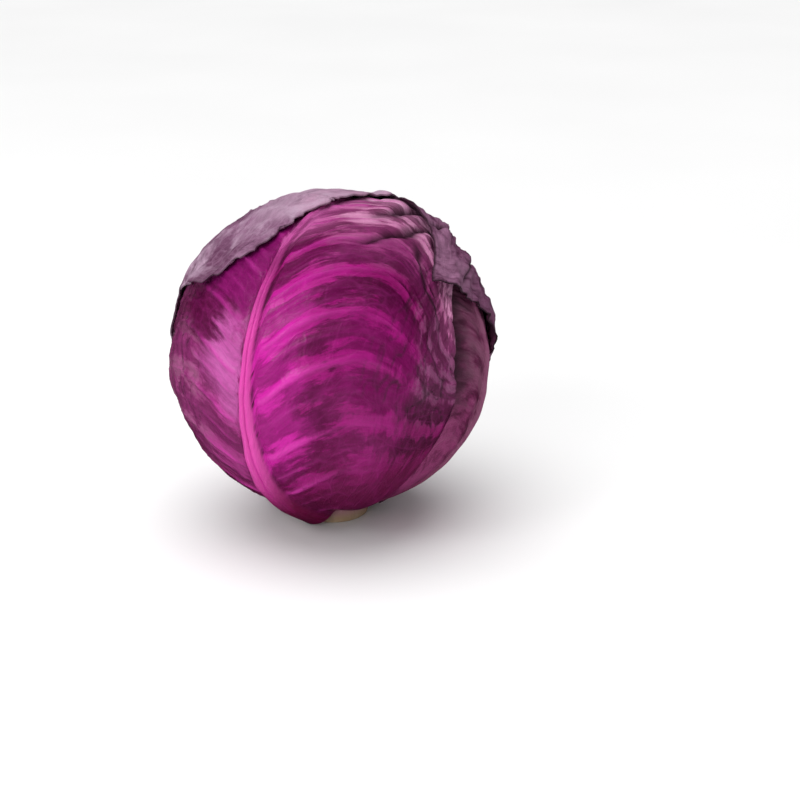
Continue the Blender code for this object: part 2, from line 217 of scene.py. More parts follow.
def heart_radii(directions):
    x, y, z = directions[..., 0], directions[..., 1], directions[..., 2]
    half_height = np.where(z > 0, HEART_TOP, HEART_BOTTOM)
    power = np.where(z > 0, 2.0, HEART_FULLNESS)
    flat = np.hypot(x, y) / HEART_RADIUS
    radius = (flat**power + np.abs(z / half_height) ** power) ** (-1.0 / power)
    turn = np.arctan2(x, -y) / (2.0 * math.pi) + 1.0
    fold = (turn * HEART_FOLDS + z * HEART_FOLD_TWIST) % 1.0
    from_stem = np.degrees(np.arccos(np.clip(-z, -1.0, 1.0))) / HEART_DIMPLE_WIDTH
    dimple = HEART_DIMPLE * np.exp(-(from_stem**2))
    lump = HEART_LUMP * noise_at(directions * 1.8)
    return radius + lump + HEART_LEAN * x - dimple - HEART_FOLD * fold * (1.0 - z**4)


def leaf_directions(leaf, along, across):
    """Directions from the head's centre. Lines of equal along follow the lateral veins."""
    reach = np.abs(across)
    side = np.where(across > 0, 1.0, -1.0)
    shift = np.where(across > 0, 2.0, 0.0)
    width = np.where(across > 0, through(leaf["right"], along), through(leaf["left"], along))
    width = width + SCALLOP * smooth(along * 4.0) * waver(leaf, along + shift, 9.0)
    width = width + leaf["frill"] * smooth(along * 4.0) * waver(leaf, along + shift + 7.0, 27.0)
    rib = mix(RIB_HALF_WIDTH_BASE, RIB_HALF_WIDTH_TIP, along**0.6)
    from_rib = np.maximum(0.0, (reach - RIB_SHARE) / (1.0 - RIB_SHARE))
    aside = np.where(from_rib > 0, mix(rib, width, from_rib), rib * reach / RIB_SHARE)
    arch = np.where(across > 0, leaf["arch_right"], leaf["arch_left"])
    climb = (RIB_RISE + side * VEIN_STAGGER * leaf["tip"] / VEINS) * smooth(reach / RIB_SHARE)
    climb = (climb + arch * through(VEIN_ARCH, from_rib)) * np.sin(math.pi * along)
    shoulder = leaf["drop"] * along**2 * reach**3
    hug = STEM_HUG * (1.0 - along) ** 8 * reach**2
    top_wave = SCALLOP * along**6 * waver(leaf, across + 5.0, 4.0)
    top_wave = top_wave + leaf["frill"] * along**12 * waver(leaf, across + 9.0, 12.0)
    up = np.radians(mix(BASE, leaf["tip"], along) + climb - shoulder - hug + top_wave)
    aside = np.radians(aside * side)
    azimuth = math.radians(leaf["azimuth"])
    outward = np.array([math.sin(azimuth), -math.cos(azimuth), 0.0])
    rightward = np.array([math.cos(azimuth), math.sin(azimuth), 0.0])
    on_midrib = outward * np.sin(up)[..., None] - np.array([0.0, 0.0, 1.0]) * np.cos(up)[..., None]
    return on_midrib * np.cos(aside)[..., None] + rightward * np.sin(aside)[..., None]


def vein_lines(leaf, along, across):
    """1 on the crest of a vein or its forks, falling to 0 beside it, and 1 midway between the main veins."""
    reach = np.abs(across)
    side = np.where(across > 0, 1.0, 0.0)
    crest = np.zeros_like(along)
    between = np.ones_like(along)
    for k in range(2 * VEINS):
        main = k % 2 == 0
        place = (k / 2 + 0.5 + VEIN_JITTER * float(waver(leaf, k / 2 + 0.5, 1.9))) / VEINS
        seed = leaf["seed"] + k * 0.37
        fixed = np.ones_like(along) * seed
        wander = noise_at(np.stack([reach * 2.6, side * 5.0, fixed], axis=-1)) * reach
        line = place + wander * 0.34 / VEINS
        if main:
            between = np.minimum(between, smooth(np.abs(along - line) * VEINS, 0.04, 0.42))
        width = mix(0.085, 0.030, reach) / VEINS * (1.0 if main else 0.7)
        strength = (1.0 if main else 0.5) * (1.0 - 0.6 * reach)
        crest = np.maximum(crest, strength * np.exp(-(((along - line) / width) ** 2)))
        for turn, start in ((1.0, 0.42), (-1.0, 0.58), (1.0, 0.74)):
            start = start + 0.08 * math.sin(seed * 9.0 + turn)
            fork = line + turn * (reach - start) * (0.75 if main else 0.5) / VEINS
            shown = np.where(reach > start, 1.0, 0.0) * (0.62 if main else 0.35) * (1.0 - 0.5 * reach)
            crest = np.maximum(crest, shown * np.exp(-(((along - fork) / (width * 0.7)) ** 2)))
    crest = crest * smooth(reach, 0.6 * RIB_SHARE, 1.4 * RIB_SHARE) * smooth(1.0 - along, 0.0, 0.12)
    crest = crest * smooth(reach, 1.0, 0.62)
    return crest, between


def rib_profile(along, across):
    """Across the midrib: 1 along its middle and 0 at its sides. It narrows quickly above the stem."""
    share = across / RIB_SHARE * mix(1.0, 2.2, smooth(along, 0.05, 0.6))
    return share, 1.0 - np.clip(np.abs(share), 0.0, 1.0) ** 2.4


def rib_height(along, across):
    """The midrib: a broad pale rib at the stem with a shallow groove up its middle."""
    share, dome = rib_profile(along, across)
    height = mix(RIB_HEIGHT_TIP, RIB_HEIGHT_BASE, (1.0 - along) ** 1.6) * smooth(along, 1.0, 0.78)
    groove = 0.34 * np.exp(-(((share - 0.12) / 0.20) ** 2)) * smooth(along, 0.10, 0.22)
    return height * dome * (1.0 - groove)


def from_line(leaf, along, across, line):
    """The distance from a line on the leaf, given by its places, and the share gone along it."""
    scale = np.array([ACROSS_LENGTH, DEGREE_LENGTH * (leaf["tip"] - BASE)])
    ends = np.array(line) * scale
    here = np.stack([across, along], axis=-1) * scale
    nearest, gone = np.full(along.shape, 1.0), np.zeros(along.shape)
    for k, (first, second) in enumerate(zip(ends, ends[1:])):
        step = second - first
        share = np.clip(((here - first) @ step) / (step @ step), 0.0, 1.0)
        distance = np.linalg.norm(here - first - share[..., None] * step, axis=-1)
        gone = np.where(distance < nearest, (k + share) / (len(line) - 1), gone)
        nearest = np.minimum(nearest, distance)
    return nearest, gone


def drawn_out(along, across, across_rate, along_rate, seed):
    """Places for noise that is drawn out along the leaf or across it."""
    return np.stack([across * across_rate, along * along_rate, np.full_like(along, seed)], axis=-1)


def crease_relief_and_shade(leaf, along, across):
    """A leaf's shade lines and wrinkles: how far their lips stand up, and how deep the painted shade lies at
    each place.
    """
    lips, shadow = np.zeros_like(along), np.zeros_like(along)
    uneven = 1.0 + 0.5 * noise_at(drawn_out(along, across, 14.0, 40.0, 0.0))
    for line, width, height in leaf["shade_lines"]:
        distance, gone = from_line(leaf, along, across, line)
        distance = distance * uneven
        there = mix(0.25, 1.0, np.sin(math.pi * gone))
        welt = np.exp(-((distance / LIP_WIDTH) ** 2)) * (1.0 - np.exp(-((distance / width) ** 2)))
        lips = np.maximum(lips, height * there * welt * 1.4)
        shadow = np.maximum(shadow, np.exp(-((distance / width) ** 2)) * smooth(there, 0.2, 0.7))
    if any(leaf["wrinkles"]):
        height = np.where(across < 0, *leaf["wrinkles"])
        drawn = drawn_out(along, across, 12.0, 7.0, leaf["seed"])
        ridge = np.abs(noise_at(drawn) + 0.5 * noise_at(drawn * 2.1))
        there = smooth(across, 0.48, 0.80) + smooth(across, -0.34, -0.58)
        there = there * smooth(along, 0.15, 0.30) * smooth(along, 0.95, 0.80)
        lips = lips + height * there * smooth(ridge, 0.0, 0.32)
        shadow = np.maximum(shadow, 0.6 * there * smooth(ridge, 0.08, 0.0))
    return lips, shadow


def lift(leaf, along, across, directions):
    """How far the leaf stands off what it rests on: its margin in waves, and the blade in swellings."""
    seed = float(leaf["seed"])
    reach = np.abs(across)
    from_margin = np.minimum(1.0 - reach, 1.0 - along)
    edge = smooth(1.0 - from_margin / MARGIN_WIDTH) * smooth(along * 3.0)
    wave = noise_at(directions * 5.0 + np.array([seed, 0.0, 0.0]))
    swelling = noise_at(directions * 7.5 + np.array([0.0, seed, 0.0]))
    foot = leaf["foot"] * (1.0 - along) ** 20 * (1.0 - reach) ** 2
    made = foot + leaf["ruffle"] * edge * (0.2 + np.maximum(wave, 0.0) * 2.6)
    made = made + leaf["pucker"] * smooth(along * 5.0) * (0.5 + swelling)
    brim = smooth(1.0 - from_margin / 0.06) * smooth(along * 3.0)
    ripple = noise_at(directions * 16.0 + np.array([0.0, 0.0, seed]))
    made = made + BRIM_HEIGHT * brim * (1.0 + ripple * 1.6)
    curl = smooth(across, 0.90, 1.0) * smooth(along, 0.12, 0.3) * smooth(along, 0.80, 0.62)
    made = made + leaf["curl_right"] * curl + crease_relief_and_shade(leaf, along, across)[0]
    made = made + leaf["pocket"] * smooth(across, 0.84, 1.0) * np.exp(-(((along - 0.80) / 0.035) ** 2))
    if leaf["folds"]:
        drawn = drawn_out(along, across, 2.2, 30.0, seed)
        fold = noise_at(drawn) + 0.4 * noise_at(drawn * 2.3)
        shown = mix(0.25, 1.0, smooth(along, 0.45, 0.62))
        shown = shown * smooth(across, 0.16, 0.40) * smooth(across, 0.92, 0.66)
        made = made + leaf["folds"] * shown * (fold + 0.4)
    if leaf["crumple"]:
        broad = 0.6 - 2.0 * np.abs(noise_at(directions * 6.5 + np.array([seed, 3.0, 0.0])))
        small = 0.6 - 2.0 * np.abs(noise_at(directions * 15.0 + np.array([seed, 0.0, 5.0])))
        clear = smooth(along * 4.0) * smooth(reach, 0.08, 0.35) * smooth(along, 1.02, 0.88)
        made = made + leaf["crumple"] * clear * (broad + 0.45 * small)
    return made


# ---- Laying one piece over the others ----

def resting_radii(directions, laid):
    """The outermost radius of what is laid, in each direction."""
    flat = directions.reshape(-1, 3).tolist()
    found = np.zeros(len(flat))
    for k, (x, y, z) in enumerate(flat):
        outside = Vector((x * FAR, y * FAR, z * FAR)) + CENTRE
        inward = Vector((-x, -y, -z))
        for tree in laid:
            hit = tree.ray_cast(outside, inward, FAR)
            if hit[0] is not None and FAR - hit[3] > found[k]:
                found[k] = FAR - hit[3]
    return found.reshape(directions.shape[:-1])


def largest_near(values, reach):
    """Each value becomes the largest of those within this many places of it."""
    for axis in (0, 1):
        padded = np.pad(values, [(reach, reach) if n == axis else (0, 0) for n in (0, 1)], mode="edge")
        length = values.shape[axis]
        values = np.max([np.take(padded, range(s, s + length), axis) for s in range(2 * reach + 1)], axis=0)
    return values


def pull_taut(radii, steps):
    """Each place goes to the mean of its neighbours, but never below what it rests on."""
    least = radii.copy()
    for step, rounds in steps:
        for _ in range(rounds):
            padded = np.pad(radii, step, mode="edge")
            rows = padded[: -2 * step, step:-step] + padded[2 * step :, step:-step]
            columns = padded[step:-step, : -2 * step] + padded[step:-step, 2 * step :]
            radii = np.maximum(least, (rows + columns) / 4.0)
    return radii


def clear_stem(places):
    """Moves places that are too near the stem straight out to the stem's side."""
    from_axis = np.hypot(places[..., 0], places[..., 1])
    outward = np.maximum(1.0, (STEM_RADIUS + BASE_GAP) / np.maximum(from_axis, 1e-6))
    outward = np.where(places[..., 2] < CENTRE.z, outward, 1.0)
    return places * np.stack([outward, outward, np.ones_like(outward)], axis=-1)


# ---- Making pieces ----

def deselect():
    if bpy.context.mode != "OBJECT":
        bpy.ops.object.mode_set(mode="OBJECT")
    bpy.ops.object.select_all(action="DESELECT")


def apply_modifier(piece, name, kind, **settings):
    added = piece.modifiers.new(name, kind)
    for key, value in settings.items():
        setattr(added, key, value)
    bpy.context.view_layer.objects.active = piece
    bpy.ops.object.modifier_apply(modifier=name)


def put_attribute(piece, name, values):
    """A number at each vertex, for the materials to read."""
    attribute = piece.data.attributes.new(name, "FLOAT", "POINT")
    attribute.data.foreach_set("value", np.asarray(values, np.float32).ravel())


def place_vertices(piece, places):
    piece.data.vertices.foreach_set("co", np.asarray(places, np.float32).ravel())
    piece.data.update()


def dress(piece, cad_node, finish):
    piece.data.materials.clear()
    piece.data.materials.append(finish)
    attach(piece, "root")
    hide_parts(cad_node)


def outside_of(piece):
    bpy.context.view_layer.update()
    return BVHTree.FromObject(piece, bpy.context.evaluated_depsgraph_get())


def make_turned(name, profile, segments):
    """A turned solid: a ring is extruded from point to point of the profile, and closed at both ends."""
    deselect()
    radius, height = profile[0]
    bpy.ops.mesh.primitive_circle_add(vertices=segments, radius=radius, location=(0.0, 0.0, height))
    piece = bpy.context.object
    piece.name = name
    bpy.ops.object.transform_apply(location=True, rotation=False, scale=False)
    bpy.ops.object.mode_set(mode="EDIT")
    bpy.ops.mesh.select_all(action="SELECT")
    for new_radius, new_height in profile[1:]:
        bpy.ops.mesh.extrude_region_move(TRANSFORM_OT_translate={"value": (0.0, 0.0, new_height - height)})
        share = new_radius / radius
        bpy.ops.transform.resize(value=(share, share, 1.0), center_override=(0.0, 0.0, new_height))
        radius, height = new_radius, new_height
    bpy.ops.mesh.select_all(action="SELECT")
    bpy.ops.mesh.remove_doubles(threshold=0.00002)
    bpy.ops.mesh.normals_make_consistent(inside=False)
    bpy.ops.object.mode_set(mode="OBJECT")
    return piece


def stem_profile(grow):
    """The stem and its core, top to bottom, with rings of faces across both ends."""
    taper = [(share, mix(CORE_RADIUS, CORE_RADIUS * 0.55, share)) for share in (0.85, 0.6, 0.3)]
    core = [(radius + grow, mix(STEM_NECK, CORE_HEIGHT, share)) for share, radius in taper]
    return [
        (0.000001, CORE_HEIGHT + grow),
        (CORE_RADIUS * 0.32 + grow, CORE_HEIGHT * 0.975 + grow),
        *core,
        (CORE_RADIUS + grow, STEM_NECK + grow),
        (STEM_RADIUS + grow, STEM_NECK * 0.55),
        (STEM_RADIUS + grow, STEM_EDGE * 1.5 - grow),
        (STEM_RADIUS - STEM_EDGE * 0.2 + grow, STEM_EDGE * 0.6 - grow),
        (STEM_RADIUS - STEM_EDGE, -grow),
        *((STEM_RADIUS * share, -grow) for share in (0.85, 0.7, 0.55, 0.4, 0.25, 0.1)),
        (0.000001, -grow),
    ]


def make_heart():
    deselect()
    bpy.ops.mesh.primitive_uv_sphere_add(segments=HEART_SEGMENTS, ring_count=HEART_RINGS, radius=1.0)
    piece = bpy.context.object
    piece.name = "heart_leaves"
    ball = np.empty(len(piece.data.vertices) * 3, np.float32)
    piece.data.vertices.foreach_get("co", ball)
    directions = ball.reshape(-1, 3).astype(float)
    directions /= np.linalg.norm(directions, axis=1)[:, None]
    place_vertices(piece, np.array(CENTRE) + directions * heart_radii(directions)[:, None])
    socket = make_turned("socket", stem_profile(FIT_GAP), SOCKET_SEGMENTS)
    deselect()
    piece.select_set(True)
    apply_modifier(piece, "socket", "BOOLEAN", operation="DIFFERENCE", solver="EXACT", object=socket)
    bpy.data.objects.remove(socket, do_unlink=True)
    bpy.ops.object.shade_smooth_by_angle(angle=math.radians(40.0))
    return piece


def make_leaf(leaf, laid):
    """A leaf's inner face is laid over what is there, and it is given its thickness outwards."""
    rows, columns = leaf["rows"], leaf["columns"]
    rib = np.linspace(0.0, RIB_SHARE, RIB_COLUMNS)
    blade = RIB_SHARE + (1.0 - RIB_SHARE) * np.linspace(0.0, 1.0, columns + 1)[1:] ** 0.92
    half = np.concatenate([rib, blade])
    across_line = np.concatenate([-half[:0:-1], half])
    along, across = np.meshgrid(np.linspace(0.0, 1.0, rows), across_line, indexing="ij")
    directions = leaf_directions(leaf, along, across)
    least = largest_near(resting_radii(directions, laid), 2) + LEAF_GAP
    radii = pull_taut(least, ((8, 30), (4, 12), (2, 8), (1, 12)))
    from_margin = np.minimum(1.0 - np.abs(across), 1.0 - along)
    close = leaf["snug"] * smooth(from_margin, 0.16, 0.02) * smooth(along, 0.1, 0.3)
    radii = mix(radii, pull_taut(least, ((2, 4), (1, 6))), close)
    radii = np.maximum(least, radii + lift(leaf, along, across, directions))
    places = clear_stem(np.array(CENTRE) + directions * radii[..., None])

    deselect()
    bpy.ops.mesh.primitive_grid_add(x_subdivisions=len(across_line) - 1, y_subdivisions=rows - 1, size=1.0)
    piece = bpy.context.object
    piece.name = leaf["name"] + "_veined"
    place_vertices(piece, places)
    crest, between = vein_lines(leaf, along, across)
    ends = np.sin(math.pi * along) ** 0.5
    thickness = BLADE * (1.0 + FOOT_THICKENING * (1.0 - along) ** 12) + rib_height(along, across)
    thickness = thickness + leaf["vein"] * crest * ends
    thickness = thickness * mix(0.72, 1.0, smooth(from_margin, 0.0, 0.02))
    put_attribute(piece, "along", along)
    put_attribute(piece, "across", across)
    put_attribute(piece, "vein", crest)
    put_attribute(piece, "between", between)
    # Painted shade: the margin is darkened to stand in for the gap under it, and so are the shade lines and
    # the wrinkles' valleys
    rim_shade = leaf["rim_shade"] * smooth(from_margin, 0.010, 0.002)
    put_attribute(piece, "painted_shade", np.maximum(rim_shade, crease_relief_and_shade(leaf, along, across)[1]))
    put_attribute(piece, "rib", rib_profile(along, across)[1])
    group = piece.vertex_groups.new(name="thickness")
    for k, share in enumerate((thickness / THICKEST).ravel().tolist()):
        group.add([k], share, "REPLACE")
    piece.select_set(True)
    apply_modifier(piece, "blade", "SOLIDIFY", thickness=THICKEST, offset=1.0, vertex_group="thickness")
    piece.vertex_groups.clear()
    bpy.ops.object.shade_smooth_by_angle(angle=math.radians(60.0))
    return piece


# ---- Building materials ----

def node(tree, kind, values=None, **settings):
    """Adds a shader node. values are its inputs, each a number, a colour or another node's output."""
    made = tree.nodes.new("ShaderNode" + kind)
    for key, value in settings.items():
        setattr(made, key, value)
    for socket, value in (values or {}).items():
        if isinstance(value, bpy.types.NodeSocket):
            tree.links.new(value, made.inputs[socket])
        else:
            made.inputs[socket].default_value = value
    return made


def calculate(tree, operation, first, second=0.0):
    return node(tree, "Math", {0: first, 1: second}, operation=operation).outputs[0]


def times(tree, first, second):
    return calculate(tree, "MULTIPLY", first, second)


def plus(tree, first, second):
    return calculate(tree, "ADD", first, second)


def minus(tree, first, second):
    return calculate(tree, "SUBTRACT", first, second)


def mix_values(tree, share, first, second):
    """The first value where the share is 0 and the second where it is 1."""
    return plus(tree, times(tree, first, minus(tree, 1.0, share)), times(tree, second, share))


def ramp(tree, value, low, high, bottom=0.0, top=1.0):
    """Goes smoothly from bottom to top as the value goes from low to high."""
    values = {"Value": value, "From Min": low, "From Max": high, "To Min": bottom, "To Max": top}
    return node(tree, "MapRange", values, interpolation_type="SMOOTHSTEP").outputs["Result"]


def blend(tree, share, first, second):
    """Mixes two colours."""
    made = tree.nodes.new("ShaderNodeMix")
    made.data_type = "RGBA"
    for socket, value in ((0, share), (6, first), (7, second)):
        if isinstance(value, bpy.types.NodeSocket):
            tree.links.new(value, made.inputs[socket])
        else:
            made.inputs[socket].default_value = value
    return made.outputs[2]


def attribute(tree, name):
    return node(tree, "Attribute", attribute_name=name).outputs["Fac"]


def grain(tree, vector, scale, detail=4.0, roughness=0.55, distortion=0.0):
    values = {"Vector": vector, "Scale": scale, "Detail": detail}
    values.update({"Roughness": roughness, "Distortion": distortion})
    return node(tree, "TexNoise", values).outputs["Fac"]


def stretch(tree, vector, scale):
    return node(tree, "Mapping", {"Vector": vector, "Scale": scale}).outputs["Vector"]


def along_leaf(tree, along, across, rates, seed):
    """A place for grain, drawn out by its rates across and along the leaf."""
    values = {0: times(tree, across, rates[0]), 1: times(tree, along, rates[1]), 2: seed}
    return node(tree, "CombineXYZ", values).outputs[0]


def effect(name, inputs, outputs):
    """A shader node group. inputs and outputs are lists of (name, kind, value)."""
    group = bpy.data.node_groups.new(name, "ShaderNodeTree")
    for direction, sockets in (("INPUT", inputs), ("OUTPUT", outputs)):
        for label, kind, value in sockets:
            made = group.interface.new_socket(name=label, in_out=direction, socket_type="NodeSocket" + kind)
            if value is not None:
                made.default_value = value
    return group, group.nodes.new("NodeGroupInput").outputs, group.nodes.new("NodeGroupOutput").inputs


def use_effect(tree, group, values):
    made = tree.nodes.new("ShaderNodeGroup")
    made.node_tree = group
    for socket, value in values.items():
        if isinstance(value, bpy.types.NodeSocket):
            tree.links.new(value, made.inputs[socket])
        else:
            made.inputs[socket].default_value = value
    return made.outputs


def new_material(name):
    made = bpy.data.materials.new(name)
    made.use_nodes = True
    tree = made.node_tree
    return made, tree, tree.nodes["Principled BSDF"]


def make_vein_net():
    """The fine net of veins between the lateral ones, drawn out along them."""
    group, given, result = effect(
        "vein_net",
        [("Along", "Float", 0.0), ("Across", "Float", 0.0), ("Cells", "Float", 30.0), ("Seed", "Float", 0.0)],
        [("Net", "Float", None), ("Cushion", "Float", None)],
    )
    flat_values = {0: times(group, given["Across"], 0.62), 1: given["Along"], 2: given["Seed"]}
    flat = node(group, "CombineXYZ", flat_values).outputs[0]
    bend = node(group, "TexNoise", {"Vector": flat, "Scale": 9.0, "Detail": 3.0}).outputs["Color"]
    bent = node(group, "VectorMath", {0: bend, "Scale": 0.07}, operation="SCALE").outputs[0]
    place = node(group, "VectorMath", {0: flat, 1: bent}, operation="ADD").outputs[0]
    drawn = stretch(group, place, (0.55, 1.0, 1.0))
    coarse = node(group, "TexVoronoi", {"Vector": drawn, "Scale": given["Cells"]}, feature="DISTANCE_TO_EDGE")
    fine_scale = times(group, given["Cells"], 2.7)
    fine = node(group, "TexVoronoi", {"Vector": place, "Scale": fine_scale}, feature="DISTANCE_TO_EDGE")
    wide = ramp(group, coarse.outputs["Distance"], 0.0, 0.09, 1.0, 0.0)
    thin = ramp(group, fine.outputs["Distance"], 0.0, 0.12, 0.45, 0.0)
    group.links.new(calculate(group, "MAXIMUM", wide, thin), result["Net"])
    group.links.new(ramp(group, coarse.outputs["Distance"], 0.0, 0.5), result["Cushion"])
    return group


def make_wax():
    """The dusty wax on the outer face of a leaf: it lies in clouds and is rubbed away in specks."""
    group, given, result = effect(
        "wax",
        [("Place", "Vector", None), ("Amount", "Float", 0.5), ("Clouds", "Float", 18.0)],
        [("Wax", "Float", None)],
    )
    clouds = grain(group, given["Place"], given["Clouds"], 5.0, 0.6, 0.4)
    specks = grain(group, given["Place"], times(group, given["Clouds"], 14.0), 3.0, 0.6)
    worn = ramp(group, specks, 0.35, 0.6)
    low = minus(group, 0.74, times(group, given["Amount"], 0.5))
    cloud = ramp(group, clouds, low, plus(group, low, 0.22))
    group.links.new(times(group, cloud, ramp(group, worn, 0.0, 1.0, 0.72, 1.0)), result["Wax"])
    return group


VEIN_NET = make_vein_net()
WAX = make_wax()

# How fast each grain of a leaf's skin changes across and along the leaf
STREAK = (1.6, 13.0)
FURROW = (8.0, 2.6)
FINE = (5.0, 40.0)
THREAD = (26.0, 7.0)
FIBRES = (60.0, 7.0)
# The tone of the painted shade under margins, along shade lines and in the wrinkles' valleys
SHADOW = (0.016, 0.0012, 0.008, 1)


def zone(tree, value, edges):
    """1 between the two middle edges, falling to 0 at the outer two. Edges of None leave that side open."""
    shown = 1.0
    low_out, low_in, high_in, high_out = edges
    if low_in is not None:
        shown = ramp(tree, value, low_out, low_in)
    if high_in is not None:
        shown = times(tree, shown, ramp(tree, value, high_in, high_out, 1.0, 0.0))
    return shown


def leaf_skin(name, tones, zones):
    """A leaf's skin: a dark and a deep tone in streaks along the veins, zones of other tones, wax, and veins.

    Each zone is its tone, where it lies along and across the leaf, and how much of it shows in the light
    streaks and in the dark ones."""
    made, tree, shader = new_material(name)
    along, across, vein, rib = (attribute(tree, label) for label in ("along", "across", "vein", "rib"))
    place = node(tree, "TexCoord").outputs["Object"]
    reach = calculate(tree, "ABSOLUTE", across)
    margin = ramp(tree, reach, 0.55, 0.85)
    seed = tones["seed"]
    blotch = grain(tree, place, 34.0, 5.0, 0.6, 0.5)
    streak = grain(tree, along_leaf(tree, along, across, STREAK, seed), 3.0, 7.0, 0.66, 0.30)
    furrow = grain(tree, along_leaf(tree, along, across, FURROW, seed), 3.0, 5.0, 0.65, 0.8)
    streak = mix_values(tree, margin, streak, furrow)
    fine = grain(tree, along_leaf(tree, along, across, FINE, seed), 3.0, 4.0, 0.6, 0.4)
    thread = grain(tree, along_leaf(tree, along, across, THREAD, seed), 3.0, 4.0, 0.6, 0.6)
    fine = mix_values(tree, margin, fine, thread)
    uneven = plus(tree, minus(tree, streak, 0.5), minus(tree, blotch, 0.5))
    net = use_effect(tree, VEIN_NET, {"Along": along, "Across": across, "Cells": 24.0, "Seed": seed})
    wax = use_effect(tree, WAX, {"Place": place, "Amount": tones["wax"], "Clouds": tones["clouds"]})

    # the blade between its veins
    shaded = times(tree, attribute(tree, "between"), tones["between"])
    lit = minus(tree, plus(tree, streak, times(tree, blotch, 0.35)), shaded)
    lit = ramp(tree, lit, tones["contrast"][0], tones["contrast"][1])
    colour = blend(tree, lit, tones["dark"], tones["deep"])
    up = plus(tree, along, times(tree, uneven, 0.12))
    aside = plus(tree, across, times(tree, uneven, 0.35))
    for tone, up_edges, aside_edges, in_light, in_dark in zones:
        here = times(tree, zone(tree, up, up_edges), zone(tree, aside, aside_edges))
        values = {"Value": lit, "To Min": in_dark, "To Max": in_light}
        shown = node(tree, "MapRange", values).outputs["Result"]
        colour = blend(tree, times(tree, here, shown), colour, tone)

    dark_thread = ramp(tree, fine, 0.44, 0.60, 0.0, tones["threads"])
    pale_thread = ramp(tree, fine, 0.50, 0.36, 0.0, tones["threads"] * 0.5)
    colour = blend(tree, dark_thread, colour, tones["dark"])
    colour = blend(tree, pale_thread, colour, tones["vein_above"])

    # wax and veins over it
    wax_here = times(tree, wax["Wax"], ramp(tree, reach, 0.1, 0.8, tones["wax_at_rib"], 1.0))
    colour = blend(tree, wax_here, colour, tones["wax_tone"])
    net_here = times(tree, net["Net"], times(tree, ramp(tree, blotch, 0.3, 0.6, 0.4, 1.0), tones["net"]))
    colour = blend(tree, net_here, colour, tones["vein_above"])
    crest = times(tree, ramp(tree, vein, 0.05, 0.8), tones["vein_amount"])
    crest = times(tree, crest, ramp(tree, streak, 0.35, 0.65, 0.5, 1.0))
    crest = times(tree, crest, ramp(tree, reach, 0.24, 0.54, 1.0, tones["vein_far"]))
    vein_tone = blend(tree, ramp(tree, along, 0.30, 0.52), tones["vein"], tones["vein_above"])
    colour = blend(tree, crest, colour, vein_tone)

    # the midrib
    groove = calculate(tree, "ABSOLUTE", minus(tree, across, RIB_SHARE * 0.08))
    groove = times(tree, ramp(tree, groove, 0.0, RIB_SHARE * 0.12, 1.0, 0.0), ramp(tree, along, 0.10, 0.24))
    rib_tone = blend(tree, ramp(tree, along, 0.08, 0.27), tones["rib_base"], tones["rib"])
    rib_tone = blend(tree, times(tree, groove, 0.7), rib_tone, tones["groove"])
    fibres = grain(tree, along_leaf(tree, along, across, FIBRES, 0.0), 2.0, 3.0)
    rib_tone = blend(tree, ramp(tree, fibres, 0.4, 0.75, 0.0, 0.30), rib_tone, tones["groove"])
    rib_fade = ramp(tree, along, 0.46, 0.70, tones["rib_amount"], 0.18)
    colour = blend(tree, times(tree, ramp(tree, rib, 0.02, 0.5), rib_fade), colour, rib_tone)
    # painted shade in the gaps under margins, along the shade lines and in the wrinkles' valleys
    painted_shade = attribute(tree, "painted_shade")
    colour = blend(tree, times(tree, painted_shade, 0.92), colour, SHADOW)
    tree.links.new(colour, shader.inputs["Base Color"])

    rough = plus(tree, times(tree, wax_here, 0.14), tones["roughness"])
    rough = plus(tree, rough, times(tree, minus(tree, blotch, 0.5), 0.25))
    rough = plus(tree, rough, times(tree, painted_shade, 0.5))
    tree.links.new(rough, shader.inputs["Roughness"])
    shader.inputs["Specular IOR Level"].default_value = tones["gloss"]
    pores = grain(tree, place, 900.0, 2.0)
    height = plus(tree, times(tree, net["Net"], 0.18), times(tree, net["Cushion"], -0.10))
    height = plus(tree, height, times(tree, streak, tones["wrinkle"]))
    height = plus(tree, height, times(tree, fine, -0.22))
    height = plus(tree, height, times(tree, pores, 0.05))
    height = plus(tree, height, times(tree, times(tree, fibres, rib), 0.25))
    bump = node(tree, "Bump", {"Height": height, "Strength": 0.6, "Distance": 0.0009})
    tree.links.new(bump.outputs["Normal"], shader.inputs["Normal"])
    return made


